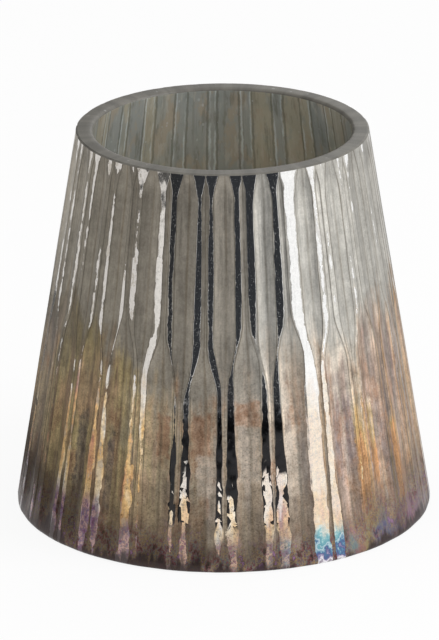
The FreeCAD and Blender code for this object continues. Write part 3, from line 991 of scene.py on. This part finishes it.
def foot_burn(wall, finish, satin, mirror):
    """Burnt foot: sooty in the flutes, coloured like oil on the ridges, black along the very edge."""
    marbled_stops = [
        (0.36, (0.045, 0.03, 0.05)), (0.43, (0.22, 0.10, 0.20)), (0.48, (0.12, 0.21, 0.22)),
        (0.52, (0.34, 0.17, 0.15)), (0.57, (0.62, 0.48, 0.38)), (0.64, (0.18, 0.10, 0.17)),
    ]
    oil_stops = [
        (0.004, (0.40, 0.36, 0.42)), (0.014, (0.93, 0.91, 0.93)), (0.024, (0.46, 0.40, 0.54)),
        (0.034, (0.10, 0.11, 0.26)), (0.044, (0.11, 0.26, 0.40)), (0.054, (0.58, 0.72, 0.76)),
        (0.062, (0.13, 0.34, 0.42)), (0.078, (0.30, 0.55, 0.58)), (0.094, (0.72, 0.82, 0.78)),
        (0.106, (0.82, 0.62, 0.40)), (0.118, (0.94, 0.86, 0.74)),
    ]
    scorch_stops = [
        (0.33, (0.015, 0.011, 0.018)), (0.41, (0.07, 0.045, 0.045)), (0.45, (0.32, 0.08, 0.09)),
        (0.49, (0.10, 0.19, 0.23)), (0.53, (0.48, 0.31, 0.15)), (0.58, finish.dusk),
        (0.64, (0.40, 0.21, 0.40)),
    ]
    drift = wall.weighted((wall.streaks(0.6, 170, 3, 0.6), 0.06))
    hue_stops = [(turn_share(degrees), shade) for degrees, shade in FOOT_HUES]
    hue = wall.ramp(wall.plus(wall.turn, drift), hue_stops)
    swirl = wall.streaks(0.8, 230, 5, 0.65)
    marbled = wall.ramp(wall.streaks(0.8, 480, 4, 0.7), marbled_stops)
    oil = wall.ramp(wall.plus(wall.height, wall.weighted((swirl, 0.16), (wall.cloud, 0.06))), oil_stops)
    oiled = wall.around(0.0, (16, 0.0), (24, 1.0), (36, 1.0), (44, 0.0))
    sheen = wall.mix(oiled, wall.mix(0.65, hue, marbled), oil)
    burn_height = wall.plus(wall.height, wall.weighted((wall.cloud, 0.10), (wall.drip, 0.14)))
    soot_top = wall.around(0.26, (-74, 0.30), (-52, 0.26), (-26, 0.16), (0, 0.13), (24, 0.13), (48, 0.20))
    soot = wall.smooth(wall.math("DIVIDE", burn_height, soot_top), 0.88, 0.22)
    sooty = wall.around(0.7, (-76, 0.26), (-45, 0.45), (-20, 0.65), (10, 0.85), (60, 0.75))
    scorch = wall.shaded(wall.ramp(wall.streaks(0.6, 360, 5, 0.78), scorch_stops), sooty)
    satin = wall.mix(wall.times(soot, 0.88), satin, scorch)
    right = wall.around(0.0, (35, 0.0), (39, 0.7), (70, 0.7), (86, 0.0))
    broken = wall.smooth(swirl, 0.40, 0.56, 0.35, 1.0)
    tinged = wall.times(wall.smooth(burn_height, 0.105, 0.05), right, broken)
    satin = wall.mix(tinged, satin, wall.mix(1.0, hue, (0.62, 0.58, 0.60), "MULTIPLY"))
    sheen_top = wall.around(0.16, (-58, 0.17), (-42, 0.18), (-36, 0.12), (40, 0.12))
    mirror = wall.mix(wall.smooth(wall.minus(burn_height, sheen_top), 0.0, -0.05), mirror, sheen)
    edge_top = wall.around(0.05, (-8, 0.045), (6, 0.028), (20, 0.022), (37, 0.02), (42, 0.04))
    edge = wall.smooth(wall.minus(burn_height, edge_top), 0.0, -0.03)
    satin = wall.mix(wall.times(edge, 0.9), satin, scaled_colour(finish.dusk, 0.5))
    mirror = wall.mix(edge, mirror, scaled_colour(finish.dusk, 0.7))
    return satin, mirror


def silvered_wall(sizes, finish):
    """Outside of the vessel: satin ground flutes and mirror ridges, silver above and stained below."""
    wall = SilveredWall(sizes)
    cut = cut_mask(wall)
    mirror, dulled, painted = mirror_colour(wall, finish)
    satin = satin_colour(wall, finish)
    satin, mirror = foot_burn(wall, finish, satin, mirror)
    pits = wall.smooth(wall.streaks(0.7, 1800, 4, 0.7), 0.58, 0.70)
    pitted = wall.mix(wall.smooth(wall.height, 0.40, 0.25), (0.13, 0.13, 0.14), finish.umber)
    pocked = wall.around(0.3, (-20, 0.3), (-17, 0.9), (20, 0.9), (23, 0.1), (37, 0.1), (40, 0.3))
    mirror = wall.mix(wall.times(pits, pocked), mirror, pitted)
    ridge_rough = wall.blend_value(pits, wall.smooth(wall.stain, 0.2, 0.9, 0.05, 0.14), 0.5)
    ridge_rough = wall.blend_value(dulled, ridge_rough, 0.30)
    flute_rough = wall.smooth(wall.hair, 0.2, 0.8, 0.38, 0.48)
    relief = wall.bump(wall.times(wall.hair, cut), 0.4, 0.00012)
    swell = wall.times(wall.streaks(0.6, 130), wall.minus(1.0, cut))
    relief = wall.bump(swell, 0.5, 0.00035, relief)
    dull_metal = wall.minus(1.0, wall.times(painted, 0.6))
    body = wall.mix(cut, mirror, satin)
    roughness = wall.blend_value(cut, ridge_rough, flute_rough)
    return wall.finished(body, roughness, relief, Metallic=wall.blend_value(cut, dull_metal, 1.0))


def ground_rim(sizes, finish, freckle):
    """The flat ground rim: frosted glass with fine marks along the edge and a few painted glints."""
    rim = WallFinish("ground rim", sizes)
    cloud = rim.smooth(rim.noise(rim.streak, 130, 5, 0.65), 0.35, 0.65)
    grit = rim.noise(rim.place, 2600, 2)
    glints = rim.spots(freckle, rim.place, spacing=0.003, size=0.25, share=0.25)
    body = rim.mix(cloud, scaled_colour(finish.rim, 1.12), scaled_colour(finish.rim, 0.72))
    # Painted glints: a few small bright specks on the ground rim
    body = rim.mix(rim.times(glints, 0.4), body, (0.5, 0.5, 0.48))
    return rim.finished(body, rim.smooth(grit, 0.2, 0.8, 0.34, 0.5), rim.bump(grit, 0.3, 0.0001))


def silvered_inside(sizes, finish, freckle):
    """Inside of the vessel: clear glass over the back of the silvering, banded by the flutes behind it."""
    wall = WallFinish("silvered inside", sizes)
    sway = wall.noise(wall.streak, 200, 3)
    fray = wall.noise(wall.patch, 240, 4, 0.65)
    edge = wall.plus(wall.attribute("cut_edge"), wall.weighted((sway, 2.0), (fray, 1.6)))
    grain = wall.noise(wall.streak, 380, 4, 0.6)
    cloud = wall.streaks(0.6, 100, 5, 0.65)
    drift = wall.streaks(0.3, 230, 4, 0.65)
    specks = wall.spots(freckle, wall.patch, spacing=0.0024, size=0.35, share=0.2)
    line = wall.smooth(wall.apart(edge, -1.9), 0.5, 0.2)
    line = wall.times(line, wall.smooth(drift, 0.42, 0.58))
    band = wall.mix(wall.smooth(wall.attribute("cut_tone"), 0.35, 0.65), finish.inside, (0.35, 0.365, 0.345))
    for strength, shade in (
        (wall.smooth(cloud, 0.50, 0.60, 0.0, 0.7), (0.43, 0.36, 0.27)),
        (wall.smooth(cloud, 0.46, 0.38, 0.0, 0.6), (0.30, 0.33, 0.31)),
        (wall.smooth(grain, 0.46, 0.28, 0.0, 0.45), (0.20, 0.19, 0.16)),
        (wall.smooth(drift, 0.54, 0.64, 0.0, 0.45), (0.56, 0.54, 0.48)),
        (wall.smooth(drift, 0.46, 0.34, 0.0, 0.55), (0.19, 0.19, 0.15)),
        (wall.times(wall.smooth(wall.apart(edge, -0.9), 0.7, 0.2), 0.6), (0.14, 0.135, 0.11)),
        (wall.times(line, 0.65), (0.66, 0.72, 0.73)),
        (wall.times(specks, 0.3), (0.70, 0.74, 0.76)),
    ):
        band = wall.mix(strength, band, shade)
    roughness = wall.smooth(grain, 0.2, 0.8, 0.30, 0.45)
    relief = wall.bump(grain, 0.25, 0.0003)
    return wall.finished(band, roughness, relief, Metallic=0.2, Coat_Weight=1.0, Coat_Roughness=0.05)


def stained_base(sizes, finish, freckle):
    """Underside: matt burnt stain over ground glass, rubbed pale where it stands."""
    base = Finish("stained base")
    cloud = base.noise(base.place, 110, 5, 0.7)
    scuffs = base.noise(base.scaled(base.place, (1, 6, 1)), 220, 3, 0.6)
    specks = base.spots(freckle, base.place, spacing=0.004, size=0.4, share=0.4)
    radius = base.vector("LENGTH", {0: base.level()[0]}, "Value")
    inside = foot_ring_inside(sizes)
    rubbed = base.smooth(radius, inside, inside + 0.5 * MILLIMETRE, 0.0, 0.6)
    stain = scaled_colour(finish.dusk, 1.6)
    body = base.mix(base.smooth(cloud, 0.35, 0.7), stain, scaled_colour(finish.olive, 0.35))
    body = base.mix(rubbed, body, scaled_colour(finish.silver, 0.7))
    body = base.wash(body, finish.silver, scuffs, 0.54, 0.72, 0.5)
    body = base.mix(base.times(specks, 0.5), body, finish.umber)
    roughness = base.smooth(cloud, 0.2, 0.8, 0.4, 0.6)
    return base.finished(body, roughness, base.bump(scuffs, 0.3, 0.0002), Metallic=0.6)


def ivory_wax(finish):
    """Pressed wax: light passes a little way in, with faint clouds and a bloom."""
    wax = Finish("ivory wax")
    cloud = wax.noise(wax.place, 80, 5, 0.6)
    bloom = wax.noise(wax.place, 900, 3, 0.6)
    body = wax.wash(finish.wax, (0.88, 0.83, 0.70), cloud, 0.3, 0.75, 0.5)
    body = wax.wash(body, (0.92, 0.90, 0.84), bloom, 0.55, 0.8, 0.25)
    return wax.finished(
        body,
        wax.smooth(bloom, 0.2, 0.8, 0.38, 0.55),
        wax.bump(bloom, 0.25, 0.0003),
        Subsurface_Weight=0.35,
        Subsurface_Radius=(0.006, 0.004, 0.002),
        Subsurface_Scale=1.0,
        IOR=1.44,
    )


def waxed_cotton(finish):
    """Braided cotton, stiff with wax."""
    cotton = Finish("waxed cotton")
    fibre = cotton.noise(cotton.scaled(cotton.place, (1, 1, 0.25)), 5000, 3, 0.6)
    cloud = cotton.noise(cotton.place, 500, 3)
    body = cotton.wash(finish.cotton, (0.58, 0.51, 0.40), fibre, 0.3, 0.7, 0.6)
    body = cotton.wash(body, (0.86, 0.81, 0.70), cloud, 0.4, 0.7, 0.4)
    return cotton.finished(body, cotton.smooth(cloud, 0.2, 0.8, 0.5, 0.75), cotton.bump(fibre, 0.5, 0.00008))


def tinned_steel(finish):
    """Bright tinned sheet with stamping marks and a film of wax."""
    tin = Finish("tinned steel")
    marks = tin.noise(tin.scaled(tin.place, (1, 8, 1)), 700, 3, 0.6)
    film = tin.smooth(tin.noise(tin.place, 400, 4), 0.5, 0.75, 0.0, 0.5)
    body = tin.mix(film, finish.tin, (0.70, 0.66, 0.55))
    roughness = tin.smooth(marks, 0.2, 0.8, 0.22, 0.42)
    return tin.finished(body, roughness, tin.bump(marks, 0.2, 0.00005), Metallic=1.0)


class LANTERN_OT_glass_vessel(bpy.types.Operator):
    """Build the cut and silvered glass vessel"""

    bl_idname = "lantern.glass_vessel"
    bl_label = "Glass Vessel"

    def execute(self, context):
        sizes = context.scene.lantern_vessel
        finish = context.scene.lantern_vessel_finish
        bm = turned(vessel_profile(sizes), sizes.flute_pairs * 2, COLUMNS - 1)
        mark_vessel_faces(bm, sizes, press_wall(bm, sizes))
        freckle = freckles()
        materials = [silvered_wall(sizes, finish)]
        materials += [make(sizes, finish, freckle) for make in (ground_rim, silvered_inside, stained_base)]
        seat(make_object(bm, "cut_glass_vessel", materials), "vessel", "glass_vessel")
        return {"FINISHED"}


class LANTERN_OT_candle_wax(bpy.types.Operator):
    """Build the wax pillar with its dished top and the recess for the wick's tab"""

    bl_idname = "lantern.candle_wax"
    bl_label = "Candle Wax"

    def execute(self, context):
        sizes = context.scene.lantern_candle
        foot, top = WAX_LOW.z, WAX_HIGH.z
        recess_top = TAB_LOW.z + sizes.tab_thickness
        side_cuts, dish_cuts, ring_steps, ripple_length = 24, 8, 128, 0.011
        shoulder = corner_points((sizes.radius, top), (sizes.radius, foot), (0, top), sizes.shoulder, 6)
        stretches = [
            (sizes.wick_hole, recess_top),
            (sizes.tab_recess, recess_top, 1),
            (sizes.tab_recess, foot, 0),
            (sizes.radius - sizes.foot_bevel, foot, 2),
            (sizes.radius, foot + sizes.foot_bevel, 1),
            *stretches_to(shoulder, side_cuts),
            (sizes.wick_radius * 3, top - sizes.dish, dish_cuts),
            (sizes.wick_hole, top - sizes.dish * 0.4, 3),
            (sizes.wick_hole, recess_top, 1),
        ]
        bm = turned(stretches, ring_steps)
        for vertex in bm.verts:
            outward = Vector((vertex.co.x, vertex.co.y, 0))
            if outward.length > sizes.tab_recess * 1.05 and vertex.co.z > foot + sizes.foot_bevel:
                ripple = noise.noise(vertex.co / ripple_length) - 1.0
                vertex.co += outward.normalized() * ripple * sizes.ripple
        piece = make_object(bm, "pillar_wax", [ivory_wax(context.scene.lantern_candle_finish)])
        seat(piece, "candle", "candle_wax")
        return {"FINISHED"}


class LANTERN_OT_candle_wick(bpy.types.Operator):
    """Build the braided wick"""

    bl_idname = "lantern.candle_wick"
    bl_label = "Candle Wick"

    def execute(self, context):
        sizes = context.scene.lantern_candle
        radius = sizes.wick_radius
        shank_cuts, braid_cuts, ring_steps, strands = 12, 60, 36, 3
        stretches = [
            (0, WICK_LOW.z),
            (radius, WICK_LOW.z, 0),
            (radius, BRAID_START, shank_cuts),
            (radius, WICK_HIGH.z - 0.5 * MILLIMETRE, braid_cuts),
            (radius * 0.55, WICK_HIGH.z, 1),
            (0, WICK_HIGH.z - 0.3 * MILLIMETRE, 1),
        ]
        bm = turned(stretches, ring_steps)
        for vertex in bm.verts:
            level = Vector((vertex.co.x, vertex.co.y, 0))
            if vertex.co.z < BRAID_START or level.length < 0.1 * radius:
                continue
            angle = strands * math.atan2(vertex.co.y, vertex.co.x)
            rise = vertex.co.z / sizes.braid_pitch * TURN
            strand = max(math.cos(angle + rise), math.cos(angle - rise))
            vertex.co -= level * sizes.braid_depth * (1 - strand)
        piece = make_object(bm, "braided_wick", [waxed_cotton(context.scene.lantern_candle_finish)])
        seat(piece, "candle", "candle_wick")
        return {"FINISHED"}


class LANTERN_OT_wick_tab(bpy.types.Operator):
    """Give the wick's tab its tinned finish"""

    bl_idname = "lantern.wick_tab"
    bl_label = "Wick Tab"

    def execute(self, context):
        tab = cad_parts["wick_tab"]
        tab.data.materials.clear()
        tab.data.materials.append(tinned_steel(context.scene.lantern_candle_finish))
        return {"FINISHED"}


def glow(tree, kind, strength=1.0, shade=(1.0, 1.0, 1.0)):
    """A shader of one kind that gives off light."""
    return tree.add(kind, {"Color": opaque(shade), "Strength": strength}).outputs[0]


def seen_rays(tree):
    """1 for a ray from the camera, or one that metal or glass passes on, and 0 for other rays."""
    path = tree.add("ShaderNodeLightPath").outputs
    return tree.most(path["Is Camera Ray"], path["Is Glossy Ray"], path["Is Transmission Ray"])


def light_world(settings):
    """A soft even light, with a white backdrop for the camera and for reflections."""
    world = bpy.data.worlds.new("white studio")
    tree = Tree(bare_nodes(world))
    fill = glow(tree, "ShaderNodeBackground", settings.fill_level)
    white = glow(tree, "ShaderNodeBackground")
    mixed = tree.add("ShaderNodeMixShader", {0: seen_rays(tree), 1: fill, 2: white}).outputs[0]
    tree.add("ShaderNodeOutputWorld", {"Surface": mixed})
    bpy.context.scene.world = world


def white_floor():
    """Plain white floor that keeps a soft shadow."""
    material = bpy.data.materials.new("white floor")
    tree = Tree(bare_nodes(material))
    paper = tree.add("ShaderNodeBsdfDiffuse", {"Color": (0.92, 0.92, 0.92, 1.0)}).outputs[0]
    share = tree.times(seen_rays(tree), 0.90)
    white = glow(tree, "ShaderNodeEmission")
    mixed = tree.add("ShaderNodeMixShader", {0: share, 1: paper, 2: white}).outputs[0]
    tree.add("ShaderNodeOutputMaterial", {"Surface": mixed})
    bm = bmesh.new()
    bmesh.ops.create_circle(bm, cap_ends=True, segments=96, radius=8.0)
    bmesh.ops.translate(bm, verts=bm.verts[:], vec=(0, 0, -5 * TINY))
    return make_object(bm, "floor", [material])


def card(name, shade, first, last, section):
    """A curved card that only reflections see: a section of (radius, height) points between two azimuths."""
    material = bpy.data.materials.new(name)
    tree = Tree(bare_nodes(material))
    tree.add("ShaderNodeOutputMaterial", {"Surface": glow(tree, "ShaderNodeEmission", shade=shade)})
    bm = bmesh.new()
    add_profile(bm, [(radius, height, 0) for radius, height in section])
    to_first = Matrix.Rotation(math.radians(first), 3, "Z")
    bmesh.ops.rotate(bm, verts=bm.verts[:], cent=(0, 0, 0), matrix=to_first)
    spin(bm, math.radians(last - first), 24)
    piece = make_object(bm, name, [material])
    piece.visible_camera = piece.visible_diffuse = piece.visible_shadow = False
    return piece


def add_softbox(name, power, size, azimuth, elevation, distance):
    """A rectangular lamp that faces the lantern."""
    lamp = bpy.data.lights.new(name, "AREA")
    lamp.shape = "RECTANGLE"
    lamp.energy = power
    lamp.size, lamp.size_y = size
    holder = link_object(name, lamp)
    turn, lift = math.radians(azimuth), math.radians(elevation)
    away = Vector((math.sin(turn) * math.cos(lift), -math.cos(turn) * math.cos(lift), math.sin(lift)))
    holder.location = MIDDLE + away * distance
    holder.rotation_euler = away.to_track_quat("Z", "Y").to_euler()


def add_camera(settings):
    """The photograph's viewpoint: a long lens, a little above the rim."""
    photo_width, photo_height = 439, 640
    middle_x, middle_y = 223.1, 314.2
    camera = bpy.data.cameras.new("camera")
    camera.lens = settings.lens
    camera.sensor_width = 36.0
    camera.shift_x = (photo_width / 2 - middle_x) / photo_height
    camera.shift_y = (middle_y - photo_height / 2) / photo_height
    camera.clip_start, camera.clip_end = 0.1, 50.0
    holder = link_object("camera", camera)
    away = Vector((0, -math.cos(settings.elevation), math.sin(settings.elevation)))
    upright = away.to_track_quat("Z", "Y").to_matrix()
    holder.location = MIDDLE + away * settings.distance
    holder.rotation_euler = (Matrix.Rotation(settings.roll, 3, away) @ upright).to_euler()
    bpy.context.scene.camera = holder


class LANTERN_OT_stage(bpy.types.Operator):
    """Set the floor, the light and the camera"""

    bl_idname = "lantern.stage"
    bl_label = "Stage"

    def execute(self, context):
        settings = context.scene.lantern_studio
        context.scene.view_settings.view_transform = "Standard"
        light_world(settings)
        white_floor()
        card("front card", (0.031, 0.033, 0.037), -40, 43, [(0.95, 0.002), (1.10, 0.002), (1.10, 0.75)])
        card("left card", (0.10, 0.10, 0.10), -178, -40, [(1.00, 0.10), (1.00, 1.6)])
        card("left flag", (0.14, 0.14, 0.14), -178, -43, [(0.10, 0.002), (0.34, 0.002)])
        card("right card", (0.95, 0.95, 0.95), 66, 180, [(0.14, 0.002), (2.5, 0.002), (2.5, 3.5)])
        add_softbox("right softbox", settings.key_power, (0.7, 0.9), 72, 32, 1.3)
        add_camera(settings)
        return {"FINISHED"}


class LANTERN_PT_panel(bpy.types.Panel):
    """Lists the lantern's pieces and their sizes and colours"""

    bl_idname = "LANTERN_PT_panel"
    bl_label = "Lantern"
    bl_space_type = "VIEW_3D"
    bl_region_type = "UI"
    bl_category = "Lantern"

    def draw(self, context):
        for operator in OPERATORS:
            self.layout.operator(operator.bl_idname)
        for name, group in SETTINGS.items():
            box = self.layout.box()
            for setting in group.__annotations__:
                box.prop(getattr(context.scene, name), setting)


SETTINGS = {
    "lantern_vessel": VesselSizes,
    "lantern_candle": CandleSizes,
    "lantern_vessel_finish": VesselFinish,
    "lantern_candle_finish": CandleFinish,
    "lantern_studio": StudioSettings,
}
OPERATORS = (
    LANTERN_OT_glass_vessel,
    LANTERN_OT_candle_wax,
    LANTERN_OT_candle_wick,
    LANTERN_OT_wick_tab,
    LANTERN_OT_stage,
)
CLASSES = (*SETTINGS.values(), *OPERATORS, LANTERN_PT_panel)


def register():
    for item in CLASSES:
        bpy.utils.register_class(item)
    for name, group in SETTINGS.items():
        setattr(bpy.types.Scene, name, PointerProperty(type=group))


def unregister():
    for name in SETTINGS:
        delattr(bpy.types.Scene, name)
    for item in reversed(CLASSES):
        bpy.utils.unregister_class(item)


def main():
    register()
    bpy.ops.lantern.glass_vessel()
    bpy.ops.lantern.candle_wax()
    bpy.ops.lantern.candle_wick()
    bpy.ops.lantern.wick_tab()
    bpy.ops.lantern.stage()


if __name__ == "__main__":
    main()
